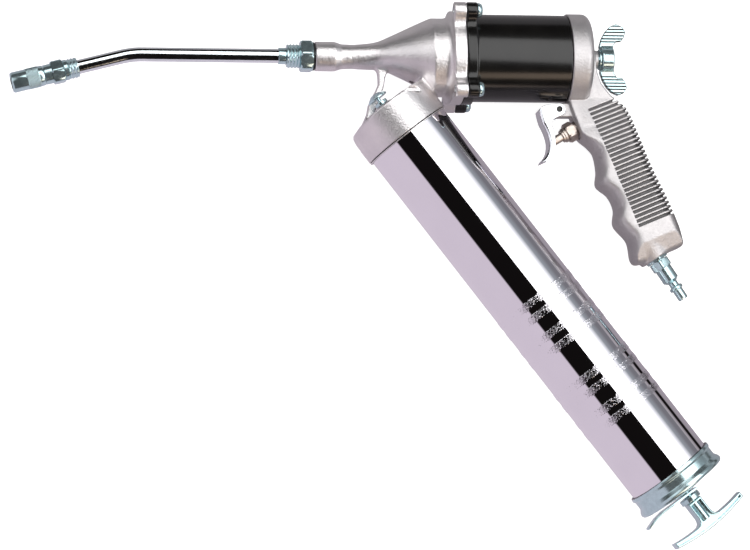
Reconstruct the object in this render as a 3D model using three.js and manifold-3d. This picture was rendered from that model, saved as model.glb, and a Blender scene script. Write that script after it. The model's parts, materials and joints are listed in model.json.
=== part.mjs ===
// Air-operated grease gun, lying on its right side with its left side up.
// Millimetres. X runs along the motor from the nose to the rear, Y is the gun's up, Z points up.
// Inside the gun group the origin is where the motor axis crosses the barrel axis.

import * as THREE from 'three';
import { mergeVertices } from 'three/addons/utils/BufferGeometryUtils.js';
import Module from 'manifold-3d';

const wasm = await Module();
wasm.setup();

// ---------------------------------------------------------------- driving dimensions

const GAP = 0.3;              // clearance between pieces that touch
const SEGMENTS = 24;          // facets round a large turned piece
const SMALL_SEGMENTS = 14;    // facets round a small turned piece

const BARREL_ANGLE = 52.8;    // barrel axis below the motor axis, degrees
const TUBE_BEND_ANGLE = 14.4; // tip of the delivery tube below the motor axis, degrees
const TUBE_BEND_X = -137.8;   // where the two straight tube runs would meet
const TUBE_BEND_R = 55;
const TUBE_R = 4.55;
const TUBE_BORE_R = 2.0;

const NOSE_X = -20.6;         // front face of the pump head
const NOSE_R = 9.5;
const HEAD_R = 25.3;
const FLANGE_X = 66.2;        // front of the head's screw lugs
const JOINT_X = 74.2;         // head to motor cylinder
const CYLINDER_FLANGE_X = 81.2;
const REAR_X = 143;           // motor cylinder to handle
const FLANGE_R = 30.2;
const LUG_OFFSET = 25.7;      // lug centre from the motor axis along Y and along Z
const LUG_R = 4.7;
const SCREW_R = 2.4;
const CYLINDER_R = 28.3;
const BORE_R = 23;
const REAR_CAP_R = 29.3;
const REAR_CAP_X = 157.5;

const CAP_TOP = 41.2;         // reservoir cap, measured along the barrel axis
const CAP_BOTTOM = 64.9;
const CAP_R = 30.25;
const SOCKET_TOP = 47.5;
const BARREL_R = 28.5;
const BARREL_BORE_R = 27;
const BARREL_END = 347;
const END_CAP_TOP = 336.5;
const ROD_R = 3.2;

const PISTON_FRONT = 126;
const PISTON_LENGTH = 10;
const PLUNGER_R = 4;
const PLUNGER_TIP = 49.5;

const PIVOT = [137.4, -34.2];        // trigger pin
const GRIP_TOP = [160, -30];
const GRIP_ANGLE = 67.8;              // grip axis below the motor axis, degrees
const VALVE_CENTRE = [145.2, -48.1];  // middle of the valve nut
const VALVE_ANGLE = 210;              // the stem points forwards and down
const INLET_CENTRE = [202.05, -134.2];
const INLET_ANGLE = 56.8;             // inlet axis below the motor axis, degrees
const BLEEDER = [-3.6, 12];           // bleeder valve across the cap top and above the mid-plane

// ---------------------------------------------------------------- materials

const finish = (color, metalness, roughness) =>
  new THREE.MeshStandardMaterial({ color, metalness, roughness });

const castAluminium = finish(0xb9b4b5, 0.9, 0.5);
const zincSteel = finish(0xb4c4c8, 1.0, 0.25);
const chromeSteel = finish(0xd8d6de, 1.0, 0.08);
const nickelSteel = finish(0xd9d0cc, 1.0, 0.2);
const toolSteel = finish(0x8b8d90, 1.0, 0.35);
const blackPaint = finish(0x0b0b0c, 0.1, 0.2);
const blackRubber = finish(0x161616, 0.0, 0.7);

// ---------------------------------------------------------------- shape helpers

const radians = THREE.MathUtils.degToRad;

// A geometry turned about X from [x, radius] points, either a ring closed on itself
// or a profile that starts and ends on the axis.
function turned(points, segments = SEGMENTS) {
  const profile = points.map(([x, r]) => new THREE.Vector2(r, x));
  return new THREE.LatheGeometry(profile, segments).rotateZ(-Math.PI / 2);
}

function rod(r, x0, x1, segments = SMALL_SEGMENTS) {
  return turned([[x0, 0], [x0, r], [x1, r], [x1, 0]], segments);
}

function ring(outer, inner, x0, x1, segments = SMALL_SEGMENTS) {
  return turned([[x0, inner], [x0, outer], [x1, outer], [x1, inner], [x0, inner]], segments);
}

function hexagon(acrossFlats, x0, x1) {
  const corner = acrossFlats / Math.sqrt(3);
  const prism = new THREE.CylinderGeometry(corner, corner, x1 - x0, 6).rotateZ(-Math.PI / 2);
  return prism.translate((x0 + x1) / 2, 0, 0);
}

// A plate in the XY plane from z0 to z1, with an optional rounded edge.
function plate(outline, z0, z1, edge = 0) {
  const shape = outline instanceof THREE.Shape ? outline
    : new THREE.Shape(outline.map(([x, y]) => new THREE.Vector2(x, y)));
  const options = { depth: z1 - z0 - 2 * edge, bevelEnabled: edge > 0, bevelSize: edge,
    bevelThickness: edge, bevelOffset: -edge, bevelSegments: 3, curveSegments: 6 };
  return new THREE.ExtrudeGeometry(shape, options).translate(0, 0, z0 + edge);
}

class Helix extends THREE.Curve {
  constructor(radius, x0, x1, turns) {
    super();
    Object.assign(this, { radius, x0, x1, turns });
  }

  getPoint(t) {
    const angle = t * this.turns * 2 * Math.PI;
    const x = this.x0 + (this.x1 - this.x0) * t;
    return new THREE.Vector3(x, this.radius * Math.cos(angle), this.radius * Math.sin(angle));
  }
}

function disc(r, sides) {
  const shape = new THREE.Shape();
  for (let i = 0; i < sides; i += 1) {
    const angle = (i + 0.5) * 2 * Math.PI / sides;
    const point = [r * Math.cos(angle), r * Math.sin(angle)];
    if (i === 0) shape.moveTo(...point);
    else shape.lineTo(...point);
  }
  return shape;
}

// A coil spring about X. x0 and x1 are its ends.
function spring(radius, wire, x0, x1, turns, stepsPerTurn = 10) {
  const extrudePath = new Helix(radius, x0 + wire, x1 - wire, turns);
  const steps = Math.round(turns * stepsPerTurn);
  return new THREE.ExtrudeGeometry(disc(wire, 4), { steps, extrudePath, bevelEnabled: false });
}

// A manifold solid from a closed geometry, its faces turned outwards.
function solid(geometry) {
  const bare = geometry.clone();
  bare.deleteAttribute('normal');
  bare.deleteAttribute('uv');
  const merged = mergeVertices(bare, 1e-4);
  const p = merged.attributes.position;
  const index = merged.index.array;
  const [a, b, c] = [new THREE.Vector3(), new THREE.Vector3(), new THREE.Vector3()];
  const triangles = [];
  let volume = 0;
  for (let i = 0; i < index.length; i += 3) {
    const [u, v, w] = [index[i], index[i + 1], index[i + 2]];
    if (u !== v && v !== w && w !== u) {
      triangles.push([u, v, w]);
      volume += a.fromBufferAttribute(p, u)
        .dot(b.fromBufferAttribute(p, v).cross(c.fromBufferAttribute(p, w)));
    }
  }
  if (volume < 0) triangles.forEach((t) => t.reverse());
  return new wasm.Manifold(new wasm.Mesh({ numProp: 3, vertProperties: new Float32Array(p.array),
    triVerts: new Uint32Array(triangles.flat()) }));
}

function geometryOf(manifold) {
  const mesh = manifold.getMesh();
  const geometry = new THREE.BufferGeometry();
  geometry.setAttribute('position', new THREE.BufferAttribute(mesh.vertProperties, 3));
  geometry.setIndex(new THREE.BufferAttribute(mesh.triVerts, 1));
  return geometry;
}

// Joins the first list of geometries and cuts the second list from the result.
function carve(joined, cut = []) {
  const body = joined.map(solid).reduce((all, next) => all.add(next));
  return geometryOf(cut.map(solid).reduce((all, next) => all.subtract(next), body));
}

// ---------------------------------------------------------------- the groups that carry the axes

const gun = new THREE.Group();

function frame(name, [x, y], degrees) {
  const group = new THREE.Group();
  group.position.set(x, y, 0);
  group.rotation.z = radians(degrees);
  group.updateMatrix();
  gun.add(group);
  return group;
}

const motor = frame('motor', [0, 0], 0);
const barrelLine = frame('barrelLine', [0, 0], -BARREL_ANGLE);
const tip = frame('tip', [TUBE_BEND_X, 0], 180 + TUBE_BEND_ANGLE);
const grip = frame('grip', GRIP_TOP, -GRIP_ANGLE);
const valve = frame('valve', VALVE_CENTRE, VALVE_ANGLE);
const inlet = frame('inlet', INLET_CENTRE, -INLET_ANGLE);
const lever = frame('lever', PIVOT, 0);

// A geometry made about one group's axis, moved into the gun's frame for joining and cutting.
const placed = (group, geometry) => geometry.applyMatrix4(group.matrix);

function add(group, name, material, geometry) {
  const mesh = new THREE.Mesh(geometryOf(solid(geometry)), material);
  mesh.material.flatShading = true;
  mesh.name = name;
  group.add(mesh);
  return mesh;
}

// A straight hole or pin between two points of the gun's mid-plane.
function bar(from, to, r) {
  const [dx, dy] = [to[0] - from[0], to[1] - from[1]];
  const geometry = rod(r, 0, Math.hypot(dx, dy), 12).rotateZ(Math.atan2(dy, dx));
  return geometry.translate(from[0], from[1], 0);
}

// ---------------------------------------------------------------- coupler and delivery tube

function makeCoupler() {
  const sleeve = [[57.4, 4.9], [57.4, 6.3], [60.4, 6.5], [60.6, 6.75], [68.2, 6.75], [68.4, 6.5],
    [77.4, 6.6], [78.4, 5.8], [78.4, 4.6], [71.2, 4.6], [71.2, 4.9], [57.4, 4.9]];
  add(tip, 'coupler_sleeve', zincSteel, turned(sleeve, 20));
  const jaw = ring(4.55, 2.6, 63.5, 70.9, 16);
  for (let i = 0; i < 4; i += 1) {
    const slot = new THREE.BoxGeometry(20, 20, 0.9).translate(66, 10, 0);
    const sides = [0, 1, 2, 3].map((k) => slot.clone().rotateX(k * Math.PI / 2));
    const quarter = new THREE.BoxGeometry(20, 8, 8).translate(66, 4, 4);
    const kept = solid(jaw).intersect(solid(quarter));
    const cut = sides.map(solid).reduce((all, next) => all.subtract(next), kept);
    const mesh = add(tip, `coupler_jaw_${i + 1}`, toolSteel, geometryOf(cut));
    mesh.rotation.x = i * Math.PI / 2;
  }
  add(tip, 'coupler_seal', blackRubber, ring(4.5, 1.6, 60.4, 63.2));
  add(tip, 'coupler_spring', toolSteel, spring(3.4, 0.5, 52.8, 60.1, 3, 8));
  const body = carve(
    [hexagon(14, 44.6, 52.2), rod(6.35, 52, 57.1, 20)],
    [rod(4.2, 52.4, 58), rod(1.8, 44, 54), rod(TUBE_R + GAP, 44, 48.4)],
  );
  add(tip, 'coupler_body', zincSteel, body);
  const nut = [[35.2, TUBE_R + GAP], [35.2, 5.9], [37, 6.6], [38, 6.1], [39.4, 6.6], [40.4, 6.1],
    [41.8, 6.6], [44.3, 6.6], [44.3, TUBE_R + GAP], [35.2, TUBE_R + GAP]];
  add(tip, 'tube_nut', zincSteel, turned(nut, 18));
}

class TubeLine extends THREE.Curve {
  // Straight from the outlet, one bend, then straight to the coupler.
  getPoint(t) {
    const angle = radians(TUBE_BEND_ANGLE);
    const tangent = TUBE_BEND_R * Math.tan(angle / 2);
    const first = -33 - (TUBE_BEND_X + tangent);
    const arc = TUBE_BEND_R * angle;
    const total = first + arc + 48 - tangent;
    const s = t * total;
    if (s < first) return new THREE.Vector3(-33 - s, 0, 0);
    const turn = Math.min((s - first) / TUBE_BEND_R, angle);
    const after = Math.max(s - first - arc, 0);
    return new THREE.Vector3(
      TUBE_BEND_X + tangent - TUBE_BEND_R * Math.sin(turn) - after * Math.cos(angle),
      TUBE_BEND_R * (Math.cos(turn) - 1) - after * Math.sin(angle), 0);
  }
}

function makeTube() {
  const section = new THREE.Shape().absarc(0, 0, TUBE_R, 0, 2 * Math.PI);
  section.holes.push(new THREE.Path().absarc(0, 0, TUBE_BORE_R, 0, 2 * Math.PI, true));
  const tube = new THREE.ExtrudeGeometry(section,
    { steps: 18, extrudePath: new TubeLine(), bevelEnabled: false, curveSegments: 6 });
  add(motor, 'delivery_tube', chromeSteel, tube);
  add(motor, 'tube_collar', zincSteel, ring(5.2, TUBE_R + GAP, -44, -39.2, 16));
  const thread = [[-38.9, TUBE_R + GAP], [-38.9, 7.2], [-37.6, 7.7], [-36, 7.2], [-34.4, 7.7],
    [-32.8, 7.2], [-31.2, 7.7], [-30, 7.2], [-29.9, TUBE_R + GAP], [-38.9, TUBE_R + GAP]];
  const hex = solid(hexagon(18.8, -30.1, -22.1));
  const chamfer = solid(turned([[-31, 0], [-31, 10.2], [-24, 11.4], [-21.5, 9.4], [-21.5, 0]], 18));
  const cone = geometryOf(hex.intersect(chamfer));
  const adapter = carve([turned(thread, 18), cone, rod(6.4, -30, -13, 14)],
    [rod(TUBE_R + GAP, -40, -32.7), rod(2.2, -40, -10), rod(4.2, -29, -10)]);
  add(motor, 'outlet_adapter', zincSteel, adapter);
  add(motor, 'outlet_o_ring', blackRubber, ring(9.2, 6.7, -21.8, NOSE_X - GAP, 20));
  const ball = new THREE.SphereGeometry(3, 10, 7).translate(-16.2, 0, 0);
  add(motor, 'check_ball', toolSteel, ball);
  add(motor, 'check_spring', toolSteel, spring(2.6, 0.45, -28.6, -19.6, 3, 8));
}

// ---------------------------------------------------------------- pump head casting

// A flange plate of a given thickness with four screw lugs.
function flange(x0, x1) {
  const shape = new THREE.Shape();
  const [c, r] = [LUG_OFFSET, LUG_R];
  const side = r * Math.SQRT1_2;
  for (let i = 0; i < 4; i += 1) {
    const turn = ([y, z]) => {
      const angle = i * Math.PI / 2;
      return [y * Math.cos(angle) - z * Math.sin(angle), y * Math.sin(angle) + z * Math.cos(angle)];
    };
    const inner = turn([21.5 + side, 21.5 - side]);
    if (i === 0) shape.moveTo(...inner);
    else shape.lineTo(...inner);
    const [cy, cz] = turn([c, c]);
    const start = -Math.PI / 4 + i * Math.PI / 2;
    shape.absarc(cy, cz, r, start, start + Math.PI);
    shape.lineTo(...turn([21.5 - side, 21.5 + side]));
  }
  const lugs = new THREE.ExtrudeGeometry(shape,
    { depth: x1 - x0, bevelEnabled: false, curveSegments: 5 });
  return lugs.rotateY(Math.PI / 2).translate(x0, 0, 0);
}

// The four screw positions, as [y, z].
const SCREWS = [[1, 1], [1, -1], [-1, -1], [-1, 1]].map(([y, z]) => [y * LUG_OFFSET, z * LUG_OFFSET]);
const screwHoles = (r, x0, x1) => SCREWS.map(([y, z]) => rod(r, x0, x1, 10).translate(0, y, z));

function makeHead() {
  const outside = turned([[NOSE_X, 0], [NOSE_X, 8.9], [NOSE_X + 0.8, NOSE_R], [-8, NOSE_R],
    [-4, 7.9], [6, 7.9], [18.5, 9.5], [28.5, 13.6], [38.5, 18.3], [46, 21.9], [53.6, 24.8],
    [57, HEAD_R], [64.4, HEAD_R], [70, FLANGE_R], [JOINT_X, FLANGE_R], [JOINT_X, 0]], 32);
  const cap = turned([[CAP_TOP, 0], [CAP_TOP, 29.3], [CAP_TOP + 1, CAP_R], [CAP_BOTTOM, CAP_R],
    [CAP_BOTTOM, 0]], 40);
  // Rounds the cap's front corner, as the casting's draft does.
  const corner = plate([[30, -31], [53, -31], [48.2, -30.3], [44.4, -28.4], [42, -25],
    [41.1, -18.5], [30, -18.5]], -40, 40);
  const roundedCap = geometryOf(solid(cap).subtract(solid(corner)));
  const rib = plate([[19.6, -8.6], [20.1, -13], [20.2, -18], [18.2, -22.6], [15.4, -27.2],
    [13.4, -32], [12.3, -37.5], [9.4, -44.5], [16, -44], [18, -38.5], [19.2, -31.5],
    [21.4, -25.6], [23.4, -20.6], [24.6, -14], [26.2, -9]], -3.4, 3.4);
  const seat = ring(6.4, 3.4, CAP_TOP - 1.4, CAP_TOP + 1, 14).translate(0, ...BLEEDER);
  const gland = rod(7.2, 54, 62.2);
  const cuts = [
    placed(barrelLine, rod(BARREL_R + GAP, SOCKET_TOP, 90, 40)),
    placed(barrelLine, rod(3.4, 38, 50, 10).translate(0, ...BLEEDER)),
    rod(21.5, 62, 80, SEGMENTS),
    rod(24.9, JOINT_X - 1.8, 80, SEGMENTS),
    gland,
    rod(PLUNGER_R + GAP, 28, 56),
    rod(2.4, -14, 30),
    rod(6.7, NOSE_X - 1, -12.6),
    bar([44, 0], [44, -34], 3.4),
    ...screwHoles(SCREW_R + GAP, 60, 80),
  ];
  const joined = [outside, placed(barrelLine, roundedCap), rib, placed(barrelLine, seat),
    flange(FLANGE_X, JOINT_X)];
  add(motor, 'pump_head', castAluminium, carve(joined, cuts));
  add(motor, 'plunger_packing', blackRubber, ring(6.9, PLUNGER_R + GAP, 56.3, 61.8));
  add(motor, 'head_gasket', blackRubber, ring(24.6, 21.8, JOINT_X - 1.5, JOINT_X - 0.1, SEGMENTS));
}

// ---------------------------------------------------------------- air motor

function makeMotor() {
  const sleeve = ring(CYLINDER_R, BORE_R, JOINT_X + GAP, REAR_X, 32);
  const cylinder = carve([sleeve, flange(JOINT_X + GAP, CYLINDER_FLANGE_X),
    ring(FLANGE_R, BORE_R, JOINT_X + GAP, CYLINDER_FLANGE_X, 32)],
  [rod(BORE_R, 60, 150, 32), rod(25, REAR_X - 2.2, 150, 32),
    ...screwHoles(SCREW_R + GAP, 60, 90)]);
  add(motor, 'motor_cylinder', blackPaint, cylinder);
  const screw = [[FLANGE_X + 0.4, 0], [FLANGE_X + 0.4, SCREW_R], [CYLINDER_FLANGE_X + GAP, SCREW_R],
    [CYLINDER_FLANGE_X + GAP, 4.2], [83.6, 4.1], [84.8, 2.8], [84.8, 1.6], [83.8, 1.4], [83.8, 0]];
  SCREWS.forEach(([y, z], i) => {
    add(motor, `flange_screw_${i + 1}`, zincSteel, turned(screw, 10)).position.set(0, y, z);
  });
  const end = PISTON_FRONT + PISTON_LENGTH;
  const piston = turned([[PISTON_FRONT, PLUNGER_R + GAP], [PISTON_FRONT, 22.7], [129.5, 22.7],
    [129.5, 20.5], [132.5, 20.5], [132.5, 22.7], [end, 22.7], [end, 0], [134, 0],
    [134, PLUNGER_R + GAP], [PISTON_FRONT, PLUNGER_R + GAP]], SEGMENTS);
  add(motor, 'air_piston', castAluminium, piston);
  add(motor, 'piston_seal', blackRubber, ring(22.75, 20.8, 129.8, 132.2, SEGMENTS));
  add(motor, 'pump_plunger', chromeSteel, rod(PLUNGER_R, PLUNGER_TIP, 133.7));
  add(motor, 'piston_spring', toolSteel, spring(14, 1.3, 62.4, PISTON_FRONT - GAP, 6, 10));
  add(motor, 'rear_seal', blackRubber, ring(24.7, BORE_R + GAP, REAR_X - 1.9, REAR_X, SEGMENTS));
}

// ---------------------------------------------------------------- handle casting

// Front and back of the grip across its axis, as [distance down the grip, offset] points.
const GRIP_FRONT = [[-12, -13], [4, -15.6], [16, -16.6], [24, -14.3], [31, -12.7], [41, -14.9],
  [50, -18.9], [59, -14.6], [68, -14.4], [78, -18.7], [91, -14.8], [99, -16.6], [110, -17.2]];
const GRIP_BACK = [[-12, 9], [-4, 10.6], [2, 13.8], [7, 18.2], [13, 20.3], [35, 20.1],
  [53, 19.8], [74, 20.8], [88, 20.7], [98, 20.1], [110, 18.4]];
const GRIP_HALF_WIDTH = [[-12, 13.6], [20, 14.6], [60, 15.2], [110, 16]];

function edgeCurve(points) {
  const curve = new THREE.SplineCurve(points.map(([x, y]) => new THREE.Vector2(x, y)));
  const samples = curve.getPoints(200);
  return (t) => {
    const next = samples.findIndex((p) => p.x >= t);
    const [a, b] = [samples[Math.max(next - 1, 0)], samples[next]];
    return a === b ? a.y : a.y + (b.y - a.y) * (t - a.x) / (b.x - a.x);
  };
}

// The grip as a loft of rounded sections across its axis.
function gripBody() {
  const [front, back, half] = [GRIP_FRONT, GRIP_BACK, GRIP_HALF_WIDTH].map(edgeCurve);
  const sides = 18;
  const sections = [];
  for (let t = -12; t < 103; t += 5) sections.push([t, 1]);
  sections.push([104.5, 1], [106.4, 0.93], [107.4, 0.8]);
  const vertices = [];
  sections.forEach(([t, scale]) => {
    const middle = (front(t) + back(t)) / 2;
    const reach = (back(t) - front(t)) / 2 * scale;
    for (let i = 0; i < sides; i += 1) {
      const [c, s] = [Math.cos(i * 2 * Math.PI / sides), Math.sin(i * 2 * Math.PI / sides)];
      const round = (v) => Math.sign(v) * Math.abs(v) ** 0.72;
      vertices.push(t, middle + reach * round(c), half(t) * scale * round(s));
    }
  });
  const last = sections.length - 1;
  const faces = [];
  for (let k = 0; k < last; k += 1) {
    for (let i = 0; i < sides; i += 1) {
      const [a, b] = [k * sides + i, k * sides + (i + 1) % sides];
      faces.push(a, b, b + sides, a, b + sides, a + sides);
    }
  }
  for (let i = 1; i < sides - 1; i += 1) {
    faces.push(0, i + 1, i);
    faces.push(last * sides, last * sides + i, last * sides + i + 1);
  }
  const geometry = new THREE.BufferGeometry();
  geometry.setAttribute('position', new THREE.Float32BufferAttribute(vertices, 3));
  geometry.setIndex(faces);
  return geometry;
}

function makeHandle() {
  const rearCap = turned([[REAR_X + GAP, 0], [REAR_X + GAP, REAR_CAP_R], [153.4, REAR_CAP_R],
    [155.2, REAR_CAP_R - 0.6], [156.9, REAR_CAP_R - 2.3], [REAR_CAP_X, REAR_CAP_R - 4.5],
    [REAR_CAP_X, 0]], 36);
  const spine = plate([[150, 5.2], [161, 5.2], [162, 3.4], [162.8, -8.9], [165.2, -17],
    [170.8, -24.4], [175.6, -28.4], [178.6, -40], [152, -46], [149.6, -37], [147.6, -28.5],
    [150, -20]], -11.5, 11.5);
  const [px, py] = PIVOT;
  const ear = new THREE.Shape();
  ear.moveTo(154, py + 4.4);
  ear.lineTo(px, py + 4.4);
  ear.absarc(px, py, 4.4, Math.PI / 2, 1.5 * Math.PI);
  ear.lineTo(154, py - 4.4);
  const boss = rod(6, 155, 165);
  const valveBoss = placed(valve, rod(7.6, -18, -4.8, 16));
  const inletBoss = placed(inlet, rod(9.2, -18, -5, 16));
  const joined = [rearCap, spine, placed(grip, gripBody()), plate(ear, -4.3, 4.3), boss, valveBoss,
    inletBoss];
  const cuts = [
    rod(20, 140, 152, SEGMENTS),
    rod(4.3, 150, 170, 12),
    placed(valve, rod(4.8, -31, 0)),
    placed(valve, rod(7.4, -4.8, 12)),
    placed(inlet, rod(6.6, -20, 0)),
    placed(inlet, rod(8.3, -5, 12)),
    bar([191.1, -117.5], [170.5, -35], 3),
    bar([160.5, -39.2], [149, -14], 2.2),
    placed(lever, rod(1.85, -10, 10, 14).rotateY(Math.PI / 2)),
  ];
  add(motor, 'handle', castAluminium, carve(joined, cuts));
}

// ---------------------------------------------------------------- trigger and air valve

function makeTrigger() {
  // Outline about the pivot: top edge, underside, rear edge, tip, and the finger face.
  const outline = new THREE.Shape();
  outline.moveTo(-13.7, -0.9);
  outline.quadraticCurveTo(-11.4, 2.4, -6.6, 3);
  outline.lineTo(-0.6, 3.8);
  outline.quadraticCurveTo(3.6, 4, 4, 0.4);
  outline.lineTo(3.8, -2.4);
  outline.lineTo(0.2, -4.6);
  outline.quadraticCurveTo(-6.2, -6.6, -5.4, -10.6);
  outline.quadraticCurveTo(-3, -16, -3, -22);
  outline.quadraticCurveTo(-3.1, -28.5, -6, -32);
  outline.lineTo(-13, -35.4);
  outline.lineTo(-12.4, -33.6);
  outline.quadraticCurveTo(-7.2, -29.4, -7.5, -21.5);
  outline.quadraticCurveTo(-8.2, -15.6, -11.6, -9.6);
  outline.quadraticCurveTo(-13.2, -5, -13.7, -0.9);
  const inside = new THREE.Shape();
  inside.moveTo(-12, -1);
  inside.quadraticCurveTo(-9, 6, -6, 8);
  inside.lineTo(12, 8);
  inside.lineTo(12, -40);
  inside.lineTo(-9, -40);
  inside.lineTo(-9, -33.4);
  inside.quadraticCurveTo(-5.7, -29.4, -6, -21.5);
  inside.quadraticCurveTo(-6.6, -15, -10, -9.2);
  inside.quadraticCurveTo(-11.4, -5, -12, -1);
  const channel = carve([plate(outline, -7, 7)],
    [plate(inside, -5.4, 5.4), rod(1.85, -10, 10, 14).rotateY(Math.PI / 2)]);
  add(lever, 'trigger', chromeSteel, channel);
  add(lever, 'trigger_pin', toolSteel, rod(1.55, -6.3, 6.3, 14).rotateY(Math.PI / 2));
}

function makeValve() {
  const hex = solid(hexagon(11.8, -2.8, 2.9));
  const chamfer = solid(turned([[-3.3, 0], [-3.3, 6.8], [1.4, 6.8], [3, 5.5], [3, 0]], 12));
  const nut = carve([geometryOf(hex.intersect(chamfer)), rod(4.5, -16.5, -2.7), rod(4.6, 2.8, 6.4)],
    [rod(3.1, -20, 8)]);
  add(valve, 'valve_nut', nickelSteel, nut);
  add(valve, 'valve_stem', nickelSteel, turned([[-20, 0], [-20, 4.2], [-17.3, 4.2], [-17.3, 2.8],
    [13.8, 2.8], [14.6, 2.1], [14.6, 0]]));
  add(valve, 'valve_seal', blackRubber, rod(3.8, -22.8, -20.3));
  add(valve, 'valve_spring', toolSteel, spring(2.9, 0.45, -30.7, -23.1, 3, 8));
}

// ---------------------------------------------------------------- air inlet and wing screw

function makeInlet() {
  const bushing = carve([hexagon(13.6, -4.7, -2.3), rod(6.3, -17, -4.6)], [rod(5, -20, 0)]);
  add(inlet, 'inlet_bushing', zincSteel, bushing);
  const plug = carve([
    hexagon(12.7, -2, 3.6),
    turned([[-14, 0], [-14, 4.7], [-1.9, 4.7], [-1.9, 5], [3.5, 5], [3.5, 5.4], [12.6, 5.4],
      [14, 3.6], [14.6, 3], [17.4, 3], [18, 4.5], [19.8, 4.5], [20.2, 3.3], [26.8, 3.3],
      [27.4, 2.9], [27.4, 0]], 14)],
  [rod(1.9, -20, 40, 8)]);
  add(inlet, 'air_plug', zincSteel, plug);
}

function makeWingScrew() {
  const hub = turned([[151, 0], [151, 3.9], [165.4, 3.9], [165.4, 6.6], [166.6, 6.6], [166.8, 8.3],
    [173.6, 8.3], [174.8, 7.2], [174.8, 0]], 16);
  const ear = [[166.9, 5], [165.8, 8.4], [167.4, 13.8], [169.9, 18.3], [173.1, 21.8],
    [177.4, 23.7], [182, 21.8], [183.8, 18.5], [182.5, 14.5], [180.6, 12.2], [177.4, 12],
    [175.3, 9.4], [174.6, 5]];
  const mirrored = ear.map(([x, y]) => [x, -y]).reverse();
  add(motor, 'wing_screw', zincSteel,
    carve([hub, plate(ear, -2.2, 2.2), plate(mirrored, -2.2, 2.2)]));
}

// ---------------------------------------------------------------- reservoir

function makeReservoir() {
  add(barrelLine, 'reservoir_barrel', chromeSteel,
    ring(BARREL_R, BARREL_BORE_R, SOCKET_TOP + 1.8, BARREL_END, 40));
  add(barrelLine, 'barrel_gasket', blackRubber,
    ring(BARREL_R, 26, SOCKET_TOP + GAP, SOCKET_TOP + 1.5, SEGMENTS));
  const bleeder = carve([rod(4.4, CAP_TOP - 4, CAP_TOP - 1.7, 20), rod(3.1, 38, CAP_TOP + 5, 16)],
    [rod(1.6, 30, 50, 12)]).translate(0, ...BLEEDER);
  add(barrelLine, 'bleeder_body', zincSteel, bleeder);
  const button = turned([[31.2, 0], [32, 4.6], [34, 6.9], [35, 6.9], [35, 1.3], [44.4, 1.3],
    [44.4, 0]], 14).translate(0, ...BLEEDER);
  add(barrelLine, 'bleeder_button', zincSteel, button);
}

function makeEndCap() {
  const inside = BARREL_R + GAP;
  const cap = [[END_CAP_TOP, inside], [END_CAP_TOP, 30.2], [338.6, 30.4], [340, 29.6], [345, 29.7],
    [347.4, 31.2], [349, 31.6], [350.4, 30.9], [351.6, 22], [353.4, 10], [353.4, 3.6],
    [352.2, 3.6], [352.2, 10], [350.2, 22], [348.8, 28.8], [END_CAP_TOP, inside]];
  add(barrelLine, 'end_cap', zincSteel, turned(cap, 36));
  const feet = [1, -1].map((side) => new THREE.BoxGeometry(3.6, 4, 1.4).translate(355.5, 0, side * 6.4));
  add(barrelLine, 'rod_collar', zincSteel,
    carve([ring(7.1, ROD_R + GAP, 357, 360.4), ...feet]));
  const bladeSide = [[355, 7], [356.4, 7], [355.6, -12], [355.2, -20], [355.7, -26], [357.8, -34.4],
    [356.5, -34.9], [354.4, -26.4], [353.8, -20], [354.2, -12]];
  const bladeTop = new THREE.Shape();
  bladeTop.moveTo(7, -5.4);
  bladeTop.lineTo(7, 5.4);
  bladeTop.lineTo(-12, 5.4);
  bladeTop.lineTo(-30, 4.4);
  bladeTop.absarc(-31, 0, 4.2, Math.PI / 2, 1.5 * Math.PI);
  bladeTop.lineTo(-12, -5.4);
  const face = new THREE.ExtrudeGeometry(bladeTop, { depth: 20, bevelEnabled: false, curveSegments: 5 })
    .rotateX(Math.PI / 2).rotateZ(Math.PI / 2).translate(340, 0, 0);
  const upright = solid(plate(bladeSide, -6, 6)).intersect(solid(face));
  const blade = upright.subtract(solid(rod(3.9, 350, 365, 20)));
  add(barrelLine, 'rod_lock', zincSteel, geometryOf(blade));
  add(barrelLine, 'rod_lock_spring', toolSteel, ring(4.6, 3.9, 353.7, 354.2, 16));
}

function makeFollower() {
  add(barrelLine, 'follower_rod', zincSteel, rod(ROD_R, 51, 375.6, 18));
  add(barrelLine, 'follower_nut', zincSteel,
    carve([hexagon(13, 53, 58)], [rod(ROD_R + GAP, 50, 60, 18)]));
  add(barrelLine, 'follower_plate_front', zincSteel, ring(21, ROD_R + GAP, 58.3, 60, SEGMENTS));
  add(barrelLine, 'follower_cup', blackRubber, turned([[60.3, ROD_R + GAP], [60.3, 24.5],
    [58.4, 26.6], [74.6, 26.6], [74.6, 23.8], [66.3, 22.6], [66.3, ROD_R + GAP],
    [60.3, ROD_R + GAP]], SEGMENTS));
  add(barrelLine, 'follower_plate_rear', zincSteel, ring(22, ROD_R + GAP, 66.6, 68.3, SEGMENTS));
  add(barrelLine, 'follower_spring', toolSteel, spring(20, 1.2, 68.6, 349.8, 13, 8));
}

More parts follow.
